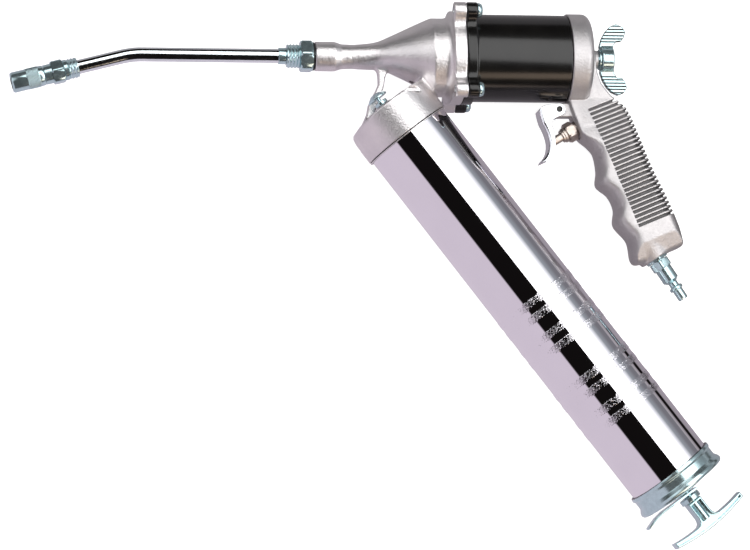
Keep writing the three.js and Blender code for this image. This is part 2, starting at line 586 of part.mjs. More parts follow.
// The stamped T, as an outline along and across the rod.
function handleOutline(inset) {
  const [half, root, reach] = [5.2 - inset, 5 + inset, 27.4 - inset];
  const shape = new THREE.Shape();
  shape.moveTo(361 + (inset ? -4 : 0), -half);
  shape.lineTo(371 + inset, -half);
  shape.quadraticCurveTo(376.4 + inset, -half, 376.2 + inset, -half - root);
  shape.quadraticCurveTo(376.2 + inset, -19, 374.6 + inset, -reach);
  shape.lineTo(378.6 - inset, -reach);
  shape.quadraticCurveTo(381.6 - inset, -12, 381.6 - inset, 0);
  shape.quadraticCurveTo(381.6 - inset, 12, 378.6 - inset, reach);
  shape.lineTo(374.6 + inset, reach);
  shape.quadraticCurveTo(376.2 + inset, 19, 376.2 + inset, half + root);
  shape.quadraticCurveTo(376.4 + inset, half, 371 + inset, half);
  shape.lineTo(361 + (inset ? -4 : 0), half);
  return shape;
}

function makeTHandle() {
  const tray = carve([plate(handleOutline(0), -5, 5.2)], [plate(handleOutline(1.5), -6, 3.7)]);
  add(barrelLine, 't_handle', zincSteel, tray);
}

// ---------------------------------------------------------------- assembly

makeCoupler();
makeTube();
makeHead();
makeMotor();
makeHandle();
makeTrigger();
makeValve();
makeInlet();
makeWingScrew();
makeReservoir();
makeEndCap();
makeFollower();
makeTHandle();

// The row's origin is under the middle of the whole gun, on the surface it lies on.
gun.updateMatrixWorld(true);
const extent = new THREE.Box3().setFromObject(gun, true);
const centre = extent.getCenter(new THREE.Vector3());
gun.position.set(-centre.x, -centre.y, -extent.min.z);

export default gun;
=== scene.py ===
import json
from math import cos, pi, radians, sin, tan

import bpy
import numpy as np
from mathutils import Matrix, Vector

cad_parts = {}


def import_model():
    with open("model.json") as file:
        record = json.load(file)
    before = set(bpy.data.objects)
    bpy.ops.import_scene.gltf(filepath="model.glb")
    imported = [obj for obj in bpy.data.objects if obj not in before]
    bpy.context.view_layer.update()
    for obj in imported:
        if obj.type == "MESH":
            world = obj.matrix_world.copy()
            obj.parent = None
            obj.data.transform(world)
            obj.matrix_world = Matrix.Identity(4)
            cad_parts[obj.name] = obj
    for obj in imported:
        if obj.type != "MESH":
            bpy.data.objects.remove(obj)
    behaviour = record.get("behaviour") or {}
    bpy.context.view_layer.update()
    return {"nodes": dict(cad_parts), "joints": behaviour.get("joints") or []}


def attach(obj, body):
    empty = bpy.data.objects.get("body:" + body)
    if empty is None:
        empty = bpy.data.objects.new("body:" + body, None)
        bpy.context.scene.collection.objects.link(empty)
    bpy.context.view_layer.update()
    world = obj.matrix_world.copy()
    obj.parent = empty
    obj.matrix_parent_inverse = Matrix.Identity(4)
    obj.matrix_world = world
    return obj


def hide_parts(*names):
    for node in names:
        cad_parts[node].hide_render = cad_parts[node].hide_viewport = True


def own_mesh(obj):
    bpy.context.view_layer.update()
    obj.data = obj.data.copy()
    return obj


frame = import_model()

# ---------------------------------------------------------------- the gun's own axes, in millimetres

MM = 0.001
JOINTS = {joint["name"]: joint for joint in frame["joints"]}
WING_X = 170                  # the wing screw's joint is this far along the motor axis
# angles are in degrees about Z, and places are x, y in the mid-plane, with the motor's axis as X
BARREL_ANGLE = 52.8
TUBE_BEND_X = -137.8
TUBE_BEND_ANGLE = 14.4
TUBE_BEND_R = 55
PIVOT = (137.4, -34.2)
GRIP_TOP = (160, -30)
GRIP_ANGLE = 67.8
VALVE_CENTRE = (145.2, -48.1)
VALVE_ANGLE = 210
INLET_CENTRE = (202.05, -134.2)
INLET_ANGLE = 56.8

MOTOR_AXIS = Vector(JOINTS["wing_screw_turn"]["pos_m"])
GUN = Matrix.Translation(MOTOR_AXIS) @ Matrix.Scale(MM, 4) @ Matrix.Translation((-WING_X, 0, 0))


def axes_at(x, y, degrees):
    """A frame in the gun's mid-plane: X along its own axis, Z up from the floor."""
    return GUN @ Matrix.Translation((x, y, 0)) @ Matrix.Rotation(radians(degrees), 4, "Z")


BARREL = axes_at(0, 0, -BARREL_ANGLE)
TIP = axes_at(TUBE_BEND_X, 0, 180 + TUBE_BEND_ANGLE)
VALVE = axes_at(*VALVE_CENTRE, VALVE_ANGLE)
INLET = axes_at(*INLET_CENTRE, -INLET_ANGLE)
LEVER = axes_at(*PIVOT, 0)

# ---------------------------------------------------------------- materials


class Shader:
    """A Principled material and the nodes that feed it. Texture coordinates are in millimetres."""

    def __init__(self, name, metallic, roughness):
        self.material = bpy.data.materials.new(name)
        self.material.use_nodes = True
        self.tree = self.material.node_tree
        self.principled = self.tree.nodes["Principled BSDF"]
        self.set(Metallic=metallic, Roughness=roughness)
        coordinates = self.tree.nodes.new("ShaderNodeTexCoord")
        scale = self.node("ShaderNodeVectorMath", operation="SCALE")
        self.link(coordinates.outputs["Object"], scale.inputs[0])
        scale.inputs["Scale"].default_value = 1 / MM
        self.place = scale.outputs[0]

    def set(self, **values):
        for key, value in values.items():
            self.principled.inputs[key.replace("_", " ")].default_value = value

    def node(self, kind, **settings):
        node = self.tree.nodes.new(kind)
        for key, value in settings.items():
            setattr(node, key, value)
        return node

    def link(self, output, socket):
        self.tree.links.new(output, socket)

    def noise(self, size, detail, stretch=None, turn=0):
        """Noise whose features are about size millimetres, 0 to 1."""
        node = self.node("ShaderNodeTexNoise")
        node.inputs["Scale"].default_value = 1 / size
        node.inputs["Detail"].default_value = detail
        place = self.place
        if stretch:
            mapping = self.node("ShaderNodeMapping", vector_type="TEXTURE")
            mapping.inputs["Rotation"].default_value = (0, 0, radians(turn))
            mapping.inputs["Scale"].default_value = stretch
            self.link(place, mapping.inputs["Vector"])
            place = mapping.outputs[0]
        self.link(place, node.inputs["Vector"])
        return node.outputs["Fac"]

    def spread(self, value, low, high):
        """Maps the middle of a 0 to 1 noise to low..high."""
        node = self.node("ShaderNodeMapRange")
        for key, number in zip(("From Min", "From Max", "To Min", "To Max"), (0.3, 0.7, low, high)):
            node.inputs[key].default_value = number
        self.link(value, node.inputs["Value"])
        return node.outputs["Result"]

    def color(self, value, low, high):
        """Colour between two RGB values by a 0 to 1 noise."""
        node = self.node("ShaderNodeMix", data_type="RGBA")
        node.inputs["A"].default_value = (*low, 1)
        node.inputs["B"].default_value = (*high, 1)
        self.link(self.spread(value, 0, 1), node.inputs["Factor"])
        self.link(node.outputs["Result"], self.principled.inputs["Base Color"])

    def roughness(self, value, low, high):
        self.link(self.spread(value, low, high), self.principled.inputs["Roughness"])

    def bump(self, *layers):
        """Each layer is (height from 0 to 1, depth in millimetres)."""
        normal = None
        for height, depth in layers:
            node = self.node("ShaderNodeBump")
            node.inputs["Distance"].default_value = depth * MM
            self.link(height, node.inputs["Height"])
            if normal:
                self.link(normal, node.inputs["Normal"])
            normal = node.outputs["Normal"]
        self.link(normal, self.principled.inputs["Normal"])


def cast_aluminium(name, base, roughness):
    shader = Shader(name, 0.93, roughness)
    fine = shader.noise(0.5, 3)
    peel = shader.noise(1.3, 2)
    cloud = shader.noise(14, 3)
    shader.color(cloud, (base * 0.93, base * 0.9, base * 0.91), (base * 1.06, base * 1.02, base * 1.02))
    shader.roughness(peel, roughness - 0.06, roughness + 0.06)
    shader.bump((fine, 0.09), (peel, 0.2))
    return shader.material


def chrome(name, tint, smudge=0.035):
    shader = Shader(name, 1.0, smudge)
    cloud = shader.noise(30, 3)
    shader.color(cloud, tint, tuple(min(1, c * 1.03) for c in tint))
    shader.roughness(shader.noise(9, 4), smudge * 0.6, smudge * 1.5)
    shader.bump((shader.noise(12, 1), 0.01))
    return shader.material


def turned_metal(name, tint, roughness, turn, metal=1.0):
    """Plated turned steel: fine rings round an axis that lies turn degrees about Z from X."""
    shader = Shader(name, metal, roughness)
    rings = shader.noise(1, 2, stretch=(0.25, 60, 60), turn=turn)
    cloud = shader.noise(3, 3)
    shader.color(cloud, tuple(c * 0.9 for c in tint), tint)
    shader.roughness(cloud, roughness * 0.75, roughness * 1.35)
    shader.bump((rings, 0.012), (shader.noise(0.8, 2), 0.006))
    return shader.material


def black_enamel():
    shader = Shader("black_enamel", 0.0, 0.5)
    shader.set(Coat_Weight=1.0, Coat_Roughness=0.2, Coat_IOR=1.5, Specular_IOR_Level=0.0)
    shader.color(shader.noise(20, 2), (0.0035, 0.0033, 0.0033), (0.007, 0.0065, 0.006))
    shader.bump((shader.noise(1.6, 2), 0.008))
    return shader.material


def rubber():
    shader = Shader("black_rubber", 0.0, 0.6)
    shader.color(shader.noise(4, 3), (0.012, 0.012, 0.013), (0.026, 0.025, 0.026))
    shader.roughness(shader.noise(2, 3), 0.5, 0.7)
    shader.bump((shader.noise(0.4, 3), 0.03))
    return shader.material


ALUMINIUM = cast_aluminium("cast_aluminium", 0.76, 0.36)
HANDLE_ALUMINIUM = cast_aluminium("blasted_aluminium", 0.55, 0.5)
# painted shade: a darker aluminium for the floors and walls of the grip's grooves
GROOVE_SHADE_ALUMINIUM = cast_aluminium("groove_painted_shade_aluminium", 0.17, 0.6)
BARREL_CHROME = chrome("barrel_chrome", (0.83, 0.81, 0.85))
TUBE_CHROME = turned_metal("tube_chrome", (0.82, 0.87, 0.89), 0.1, 0)
TRIGGER_CHROME = chrome("trigger_chrome", (0.82, 0.84, 0.87), 0.07)
ENAMEL = black_enamel()
RUBBER = rubber()
ZINC = {key: turned_metal("zinc_" + key, (0.55, 0.72, 0.75), 0.17, turn, 0.86)
        for key, turn in (("motor", 0), ("barrel", -BARREL_ANGLE), ("tip", TUBE_BEND_ANGLE),
                          ("inlet", -INLET_ANGLE))}
NICKEL = turned_metal("nickel", (0.58, 0.51, 0.46), 0.36, VALVE_ANGLE)
TOOL_STEEL = turned_metal("tool_steel", (0.4, 0.41, 0.43), 0.3, 0)
# a dark steel: the trigger pin's own finish, and painted shade in the wing screw's serrations, the cap
# lip's groove and the end cap's seam
BLACKED_STEEL_AND_SHADE = turned_metal("blacked_steel_and_painted_shade", (0.035, 0.036, 0.034), 0.25, 0)

# ---------------------------------------------------------------- pieces


def piece(name, body, slot, material, place, vertices, faces, sharp=32, second=None, node=None):
    """A closed mesh in millimetres, put in the row frame. It stands for the CAD node of its name, or for
    node. second is a material and a test of x, y and z for the faces that take it."""
    mesh = bpy.data.meshes.new(name)
    mesh.from_pydata(np.asarray(vertices).tolist(), [], [list(map(int, f)) for f in faces])
    if second:
        mesh.materials.append(material)
        mesh.materials.append(second[0])
        centres = np.empty(3 * len(mesh.polygons))
        mesh.polygons.foreach_get("center", centres)
        chosen = second[1](*centres.reshape(-1, 3).T)
        mesh.polygons.foreach_set("material_index", chosen.astype(np.int32))
    mesh.transform(place)
    mesh.validate()
    mesh.polygons.foreach_set("use_smooth", np.ones(len(mesh.polygons), bool))
    mesh.set_sharp_from_angle(angle=radians(sharp))
    if not second:
        mesh.materials.append(material)
    obj = bpy.data.objects.new("look_" + name, mesh)
    bpy.context.scene.collection.objects.link(obj)
    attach(obj, body)
    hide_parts(node or name)
    return obj


def rounded(points, closed, steps=4):
    """A profile whose corners [x, r, fillet] become arcs."""
    result = []
    count = len(points)

    def at(i):
        x, r = points[i % count][:2]
        return Vector((x, r(np.zeros(1))[0] if callable(r) else r))

    for i, (x, r, *fillet) in enumerate(points):
        if not fillet or (not closed and i in (0, count - 1)):
            result.append((x, r))
            continue
        corner = at(i)
        before, after = at(i - 1) - corner, at(i + 1) - corner
        half = before.angle(after) / 2
        cut = min(fillet[0] / tan(half), 0.49 * before.length, 0.49 * after.length)
        start, end = corner + before.normalized() * cut, corner + after.normalized() * cut
        for k in range(steps + 1):
            t = k / steps
            result.append(tuple(start * (1 - t) ** 2 + corner * 2 * t * (1 - t) + end * t ** 2))
    return result


def turn(points, segments=96):
    """Vertices and faces of a solid turned about X from [x, r] or [x, r, fillet] points.
    r may be a function of the angle. The profile closes on itself, or starts and ends on the axis."""
    closed = callable(points[0][1]) or points[0][1] != 0
    points = rounded(points, closed)
    angles = np.arange(segments) * 2 * pi / segments
    rows, vertices = [], []
    for x, r in points:
        start = len(vertices)
        if not callable(r) and r == 0:
            vertices.append((x, 0, 0))
            rows.append([start] * segments)
            continue
        radius = r(angles) if callable(r) else np.full(segments, r)
        vertices += list(zip(np.full(segments, x), radius * np.sin(angles), radius * np.cos(angles)))
        rows.append(range(start, start + segments))
    faces = []
    for k in range(len(rows) if closed else len(rows) - 1):
        a, b = rows[k], rows[(k + 1) % len(rows)]
        for i in range(segments):
            j = (i + 1) % segments
            loop = [a[i], a[j], b[j], b[i]]
            faces.append([v for n, v in enumerate(loop) if v != loop[n - 1]])
    return outward(vertices, faces)


def outward(vertices, faces):
    """Turns every face round if the closed mesh is inside out."""
    p = np.asarray(vertices, float)
    volume = sum(np.dot(p[f[0]], np.cross(p[f[i]], p[f[i + 1]])) for f in faces
                 for i in range(1, len(f) - 1))
    return vertices, faces if volume > 0 else [f[::-1] for f in faces]


def hexagon(across_flats, limit, turned=0):
    """Radius of a hexagon at an angle, no more than a limit that chamfers its corners."""
    return lambda angle: np.minimum(
        across_flats / 2 / np.cos((angle + radians(turned)) % (pi / 3) - pi / 6), limit)


def zigzag(t):
    """From 0 up to 1 and back as t goes through each whole number."""
    return 1 - np.abs(2 * (t % 1) - 1)


def thread(x0, x1, radius, depth, pitch, runout):
    """Rows of a screw thread from x0 to x1, eight to a turn, that fades out over the runout at each end."""
    rows = []
    for x in np.arange(x0, x1 + 1e-6, pitch / 8):
        fade = min(1, (x - x0) / runout, (x1 - x) / runout)
        rows.append((x, lambda angle, x=x, fade=max(fade, 0):
                     radius - depth + depth * fade * zigzag(x / pitch - angle / (2 * pi))))
    return rows


def knurl(x0, x1, radius, depth, around, pitch, step, edge, uneven=0.0):
    """Rows of a diamond knurl, proud of a radius by depth, that fades out at both edges.
    A plain row beside each edge keeps the shading of the plain surface clean."""
    random = np.random.default_rng(int(x0 * 10))
    rows = [(x0 - step, radius)]
    for x in np.arange(x0, x1 + 1e-6, step):
        fade = max(0, min(1, (x - x0) / edge, (x1 - x) / edge))

        def height(angle, x=x, fade=fade):
            t = angle * around / (2 * pi)
            rough = 1 + uneven * (2 * random.random(len(angle)) - 1) if len(angle) > 1 else 1
            return radius + depth * fade * rough * np.minimum(zigzag(t + x / pitch), zigzag(t - x / pitch))

        rows.append((x, height))
    return [*rows, (x1 + step, radius)]


def coil(name, place, radius, wire, x0, x1, turns, per_turn=32, sides=10):
    """A spring about X with closed ends, given the radii of the coil and of its wire."""
    closed = 2.1 * wire           # the pitch of the closed turn at each end
    count = int(turns * per_turn)
    t = np.arange(count + 1) / count
    angle = t * turns * 2 * pi
    ends = 1.0 / turns
    ramp = np.clip((t - ends) / (1 - 2 * ends), 0, 1)
    flat = (np.minimum(t, ends) + np.maximum(t - 1 + ends, 0)) * turns * closed
    x = x0 + wire + flat + ramp * (x1 - x0 - 2 * wire - 2 * closed)
    section = np.arange(sides) * 2 * pi / sides
    vertices = []
    for k in range(count + 1):
        r = radius + wire * np.cos(section)
        vertices += list(zip(x[k] + wire * np.sin(section), r * cos(angle[k]), r * sin(angle[k])))
    faces = [list(range(sides)), list(range(count * sides, (count + 1) * sides))[::-1]]
    for k in range(count):
        for i in range(sides):
            a, b = k * sides + i, k * sides + (i + 1) % sides
            faces.append([a, a + sides, b + sides, b])
    obj = piece(name, "gun", "tool_steel", TOOL_STEEL, place, *outward(vertices, faces), sharp=60)
    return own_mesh(obj)


# ---------------------------------------------------------------- castings, from distance fields


def polygon(points):
    """Signed distance to a polygon in the plane, negative inside."""
    points = [np.array(p, float) for p in points]

    def distance(u, v):
        nearest = None
        inside = None
        for a, b in zip(points, points[1:] + points[:1]):
            edge = b - a
            if not edge.any():
                continue
            pu, pv = u - a[0], v - a[1]
            t = np.clip((pu * edge[0] + pv * edge[1]) / (edge @ edge), 0, 1)
            d = (pu - t * edge[0]) ** 2 + (pv - t * edge[1]) ** 2
            nearest = d if nearest is None else np.minimum(nearest, d)
            crossing = (a[1] <= v) != (b[1] <= v)
            side = (pu * edge[1] - pv * edge[0]) * (1 if edge[1] > 0 else -1) < 0
            hit = crossing & side
            inside = hit if inside is None else inside ^ hit
        return np.where(inside, -1, 1) * np.sqrt(nearest)

    return distance


def curve(points, samples=24):
    """A smooth function through [x, y] points (Catmull-Rom)."""
    p = np.array([points[0], *points, points[-1]], float)
    t = np.linspace(0, 1, samples, endpoint=False)[:, None]
    spans = []
    for a, b, c, d in zip(p, p[1:], p[2:], p[3:]):
        spans.append(0.5 * (2 * b + (c - a) * t + (2 * a - 5 * b + 4 * c - d) * t ** 2
                            + (3 * b - a - 3 * c + d) * t ** 3))
    line = np.concatenate([*spans, p[-1:]])
    return lambda x: np.interp(x, line[:, 0], line[:, 1])


def join(a, b, fillet=0.0):
    """Union with a fillet of about that size in the corner."""
    if not fillet:
        return np.minimum(a, b)
    h = np.maximum(fillet - np.abs(a - b), 0) / fillet
    return np.minimum(a, b) - h * h * fillet / 4


def cut(a, b, fillet=0.0):
    """a without b."""
    return -join(-a, b, fillet)


def both(a, b, fillet=0.0):
    """What a and b share."""
    return -join(-a, -b, fillet)


def slab(d2, height, edge):
    """An outline's distance and a distance from its end faces, made one solid with rounded edges."""
    inner = np.minimum(np.maximum(d2, height) + edge, 0)
    return inner + np.hypot(np.maximum(d2 + edge, 0), np.maximum(height + edge, 0)) - edge


def cylinder(along, radius, x0, x1, r, edge=0.0):
    """A cylinder given the coordinate along its axis and the distance from its axis."""
    return slab(radius - r, np.maximum(x0 - along, along - x1), edge)


def local(x, y, origin, degrees):
    """Coordinates along and across an axis through origin."""
    c, s = cos(radians(degrees)), sin(radians(degrees))
    u, v = x - origin[0], y - origin[1]
    return u * c + v * s, v * c - u * s


def surface(distance, low, high, step):
    """Quads on the zero surface of a distance function: surface nets, then two Newton steps."""
    grid = [np.arange(a - 2 * step, b + 2 * step, step, dtype=np.float32) for a, b in zip(low, high)]
    values = distance(grid[0][:, None, None], grid[1][None, :, None], grid[2][None, None, :])
    values = np.broadcast_to(values, [len(g) for g in grid]).astype(np.float32)
    inside = values < 0
    shape = np.array(values.shape)
    corners = [np.array((i, j, k)) for i in (0, 1) for j in (0, 1) for k in (0, 1)]

    def shifted(c):
        return inside[c[0]:shape[0] - 1 + c[0], c[1]:shape[1] - 1 + c[1], c[2]:shape[2] - 1 + c[2]]

    count = sum(shifted(c).astype(np.uint8) for c in corners)
    active = (count > 0) & (count < 8)
    cells = np.argwhere(active)
    index = np.full(active.shape, -1, np.int64)
    index[active] = np.arange(len(cells))
    total, hits = np.zeros((len(cells), 3)), np.zeros(len(cells))
    units = np.eye(3, dtype=int)
    for corner in corners:
        for axis in range(3):
            if corner[axis] == 0:
                start = values[tuple((cells + corner).T)]
                end = values[tuple((cells + corner + units[axis]).T)]
                crossed = (start < 0) != (end < 0)
                t = start / np.where(crossed, start - end, 1)
                total += (corner + t[:, None] * units[axis]) * crossed[:, None]
                hits += crossed
    vertices = np.array([g[0] for g in grid]) + step * (cells + total / hits[:, None])
    quads = []
    for axis in range(3):
        u, v = units[(axis + 1) % 3], units[(axis + 2) % 3]
        first = np.take(inside, range(shape[axis] - 1), axis)
        second = np.take(inside, range(1, shape[axis]), axis)
        p = np.argwhere(first != second)
        loop = np.stack([index[tuple(q.T)] for q in (p, p - u, p - u - v, p - v)], 1)
        flip = ~first[tuple(p.T)]
        loop[flip] = loop[flip][:, ::-1]
        quads.append(loop)
    for _ in range(2):
        vertices = onto(distance, vertices, step)
    return vertices, np.concatenate(quads)


def onto(distance, vertices, step):
    """Moves points along the gradient on to the zero surface, by at most half a cell."""
    def at(offset):
        return distance(*(vertices + offset).T)

    h = 0.05
    gradient = np.stack([(at(e) - at(-e)) / (2 * h) for e in np.eye(3) * h], 1)
    size = np.maximum((gradient ** 2).sum(1), 0.05)
    move = -at(np.zeros(3))[:, None] * gradient / size[:, None]
    length = np.maximum(np.linalg.norm(move, axis=1), 1e-9)
    return vertices + move * np.minimum(1, step / 2 / length)[:, None]


def casting(name, body, slot, material, place, distance, low, high, step, second=None):
    """A piece from a distance function, found on a grid between two corners."""
    return piece(name, body, slot, material, place, *surface(distance, low, high, step), sharp=50,
                 second=second)


def path(*points, steps=6):
    """Outline points; (cx, cy, x, y) is a quadratic arc to x, y with the control point cx, cy."""
    result = []
    for p in points:
        if len(p) == 4:
            start, control, end = (Vector(v) for v in (result[-1], p[:2], p[2:]))
            result += [tuple(start * (1 - t) ** 2 + control * 2 * t * (1 - t) + end * t ** 2)
                       for t in np.arange(1, steps + 1) / steps]
        else:
            result.append(p)
    return result


# along the motor's axis: where the cylinder meets the head and the rear cap, then the outer faces
# of the two flanges
JOINT_X, REAR_X, FLANGE_X, BLACK_FLANGE_X = 74.2, 143, 66.2, 81.2
FLANGE_R, LUG_OFFSET, LUG_R = 30.2, 25.7, 5.2
BARREL_R, BARREL_BORE_R = 28.5, 27
CAP_TOP, CAP_BOTTOM, CAP_R, SOCKET_TOP = 41.2, 64.9, 30.25, 47.5
CAP_GROOVE = 1.2              # the cap's mouth has a groove and a lip in its last stretch
CYLINDER_R, CYLINDER_BORE_R, REAR_CAP_R = 28.3, 23, 29.3
SCREW_HOLE_R, PIN_HOLE_R = 2.7, 1.85
BLEEDER = (-3.6, 12)          # the bleeder valve's Y and Z in the barrel's axes
# the pump head's radius along the motor's axis
NECK = curve([(-22, 9.5), (-14, 9.5), (-8.4, 9.5), (-6, 8.9), (-3.6, 8.1), (0, 7.9), (6, 7.9),
              (18.5, 9.5), (28.5, 13.6), (38.5, 18.3), (46, 21.8), (53.6, 25.2), (62, 29), (70, 32)])
SHOULDER_R = 25.4
RIB = polygon([(19.6, -8.6), (20.1, -13), (20.2, -18), (18.2, -22.6), (15.4, -27.2), (13.4, -32),
               (12.3, -37.5), (9.4, -44.5), (16, -44), (18, -38.5), (19.2, -31.5), (21.4, -25.6),
               (23.4, -20.6), (24.6, -14), (26.2, -9)])
CAP_CORNER = polygon([(30, -31), (53, -31), (48.2, -30.3), (44.4, -28.4), (42, -25), (41.1, -18.5),
                      (30, -18.5)])


def lugs(x, y, z, x0, x1, edge):
    """A round flange with four screw lugs."""
    radius = np.hypot(y, z)
    u, v = np.abs(y), np.abs(z)
    t = np.clip((u + v) / 2, 16, LUG_OFFSET)
    lug = np.hypot(u - t, v - t) - LUG_R
    return slab(join(radius - FLANGE_R, lug, 5), np.maximum(x0 - x, x - x1), edge)


def screw_holes(y, z, radius):
    return np.hypot(np.abs(y) - LUG_OFFSET, np.abs(z) - LUG_OFFSET) - radius


def pump_head(x, y, z):
    radius = np.hypot(y, z)
    s, w = local(x, y, (0, 0), -BARREL_ANGLE)
    ring = np.hypot(w, z)
    seat = np.hypot(w - BLEEDER[0], z - BLEEDER[1])
    under = np.clip(-y / (radius + 0.01), 0, 1) ** 2 * np.clip((56 - x) / 10, 0, 1)
    neck = both((radius - NECK(x - 7.5 * under * np.clip((x - 8) / 10, 0, 1))) * 0.85,
                radius - SHOULDER_R, 0.3)
    neck = slab(neck, np.maximum(-20.6 - x, x - 70), 0.7)
    neck = join(neck, lugs(x, y, z, FLANGE_X, JOINT_X, 0.7), 5)
    cap = both(cylinder(s, ring, CAP_TOP, 80, CAP_R, 1.1), s - CAP_BOTTOM + CAP_GROOVE, 0.3)
    cap = cut(cap, CAP_CORNER(s, w), 3)
    cap = join(cap, cylinder(s, seat, 39.8, 44, 6.4, 0.5), 1.5)
    solid = join(neck, cap, 3)
    solid = join(solid, slab(RIB(x, y), np.abs(z) - 3.4, 1.4), 2.5)
    drilling = np.hypot(x - 44, z) - 3.4
    for hole in (cylinder(s, ring, SOCKET_TOP, 120, BARREL_R + 0.3), cylinder(s, seat, 30, 50, 3.4),
                 cylinder(x, radius, 62, 80, 21.5), cylinder(x, radius, JOINT_X - 1.8, 80, 24.9),
                 cylinder(x, radius, 54, 62.2, 7.2), cylinder(x, radius, 28, 56, 4.3),
                 cylinder(x, radius, -14, 30, 2.4), cylinder(x, radius, -30, -12.6, 6.7),
                 np.maximum(drilling, np.maximum(y, -34 - y)), screw_holes(y, z, SCREW_HOLE_R)):
        solid = cut(solid, hole, 0.3)
    return solid


def motor_cylinder(x, y, z):
    radius = np.hypot(y, z)
    solid = cylinder(x, radius, JOINT_X + 0.3, REAR_X, CYLINDER_R, 0.4)
    solid = join(solid, lugs(x, y, z, JOINT_X + 0.3, BLACK_FLANGE_X, 0.6), 0.8)
    solid = cut(solid, radius - CYLINDER_BORE_R)
    solid = cut(solid, cylinder(x, radius, REAR_X - 2.2, 150, 25))
    return cut(solid, np.maximum(screw_holes(y, z, SCREW_HOLE_R), x - 90))


SPINE = polygon([(150, 5.2), (161, 5.2), (162, 3.4), (162.8, -8.9), (165.2, -17), (170.8, -24.4),
                 (175.6, -28.4), (178.6, -40), (152, -46), (149.6, -37), (147.6, -28.5), (150, -20)])
EAR = polygon(path((154, -29.8), (137.4, -29.8), (133, -29.8, 133, -34.2), (133, -38.6, 137.4, -38.6),
                   (154, -38.6)))
GRIP_FRONT = curve([(-14, -13), (-7.5, -14.4), (4, -15.8), (16.6, -16.7), (24, -14.3), (30.8, -12.5),
                    (41.2, -14.9), (50, -18.9), (59, -14.6), (68.4, -14.4), (78.1, -18.7), (91, -15),
                    (103.5, -17.4), (112, -14)])
GRIP_BACK = curve([(-14, 9), (-4, 10.6), (2, 13.8), (7, 18.2), (13, 20.3), (35, 20.1), (53, 19.8),
                   (74, 20.8), (88, 20.7), (98, 20.1), (112, 17.6)])
RIB_PITCH, RIB_START, RIB_COUNT, RIB_DEPTH = 3.03, 1.8, 28, 1.5


def arm(x, y, z):
    """The arm and grip without ribs: flat sides that slope in at both ends, a scalloped front that
    falls away from a crease, a rounded back, and a cone that stands out round the air inlet.
    Also gives the depth under the sides and back, which the grooves between the ribs follow."""
    t, q = local(x, y, GRIP_TOP, -GRIP_ANGLE)
    n, nr = local(x, y, INLET_CENTRE, -INLET_ANGLE)
    side = np.abs(z)
    half = 14.2 + 0.012 * t
    front = 1.5 + 8 * np.clip((t - 15) / 10, 0, 1)
    back = 10.0
    nose = np.hypot(np.maximum(front - (q - GRIP_FRONT(t)), 0) / front, z / (half + 1.0))
    heel = np.hypot(np.maximum(back - (GRIP_BACK(t) - q), 0) / back, z / (half + 0.8))
    outline = both((nose - 1) * front * 0.8, (heel - 1) * back * 0.8, 2)
    foot = (side - half + 0.6 * np.maximum(t - 95.5, 0)) * 0.86
    body = both(both(outline, side - half, 1.2), foot, 0.4)
    body = both(body, np.maximum(-14 - t, t - 107.6), 3)
    socket = (np.hypot(nr, z) - 10.2 - 0.4 * np.maximum(-5 - n, 0)) * 0.93
    socket = np.maximum(np.maximum(socket, outline + 0.4), np.maximum(n + 5, -20 - n))
    body = join(body, np.maximum(socket, side - half + 0.1), 0.5)
    body = join(body, slab(SPINE(x, y), side - 11.5, 1.6), 2)
    flank = (side - 7.8 - 0.2 * np.maximum(-27 - y, 0)) * 0.98
    return both(body, flank, 1.2), np.maximum(np.maximum(flank, side - half), (heel - 1) * back * 0.8)


def grooves(x, y, depth, margin=0.0):
    """The grooves between the grip's ribs."""
    t, q = local(x, y, GRIP_TOP, -GRIP_ANGLE)
    groove = (np.abs((t - RIB_START) / RIB_PITCH % 1 - 0.5) - 0.27) * RIB_PITCH
    field = np.maximum(RIB_START - t, t - RIB_START - RIB_COUNT * RIB_PITCH)
    edge = -5.5 - 0.02 * t - q
    return np.maximum(np.maximum(groove, field), np.maximum(edge, -(depth + RIB_DEPTH))) - margin


def in_groove_shade(x, y, z):
    """True on the floors and walls of the grooves, which take a darker aluminium: painted shade in the
    grooves.
    """
    depth = arm(x, y, z)[1]
    return (depth < -0.5) & (grooves(x, y, depth, 0.3) < 0)


def handle(x, y, z):
    radius = np.hypot(y, z)
    v, vr = local(x, y, VALVE_CENTRE, VALVE_ANGLE)
    n, nr = local(x, y, INLET_CENTRE, -INLET_ANGLE)
    valve, inlet = np.hypot(vr, z), np.hypot(nr, z)
    solid = both(cylinder(x, radius, 130, 157.5, REAR_CAP_R, 4.6), REAR_X + 0.3 - x, 0.5)
    solid = join(solid, cylinder(x, radius, 150, 164.6, 6, 0.6), 2)
    body, depth = arm(x, y, z)
    solid = join(solid, cut(body, grooves(x, y, depth), 0.35), 0.6)
    solid = join(solid, slab(EAR(x, y), np.abs(z) - 4.3, 0.5), 1)
    solid = join(solid, cylinder(v, valve, -18, -4.8, 7.6, 0.5), 2)
    solid = join(solid, cylinder(n, inlet, -18, -5, 9.2, 0.8), 4)
    for hole in (cylinder(x, radius, 140, 152, 20), cylinder(x, radius, 150, 170, 4.3),
                 cylinder(v, valve, -31, 0, 4.8), cylinder(v, valve, -4.8, 12, 7.4),
                 cylinder(n, inlet, -20, 0, 6.6), cylinder(n, inlet, -5, 12, 8.3),
                 passage(x, y, z, (191.1, -117.5), (170.5, -35), 3),
                 passage(x, y, z, (160.5, -39.2), (149, -14), 2.2),
                 np.hypot(x - PIVOT[0], y - PIVOT[1]) - PIN_HOLE_R):
        solid = cut(solid, hole, 0.2)
    return solid


def passage(x, y, z, start, end, radius):
    """A drilled passage between two points of the mid-plane."""
    dx, dy = end[0] - start[0], end[1] - start[1]
    t = np.clip(((x - start[0]) * dx + (y - start[1]) * dy) / (dx * dx + dy * dy), 0, 1)
    return np.sqrt((x - start[0] - t * dx) ** 2 + (y - start[1] - t * dy) ** 2 + z * z) - radius


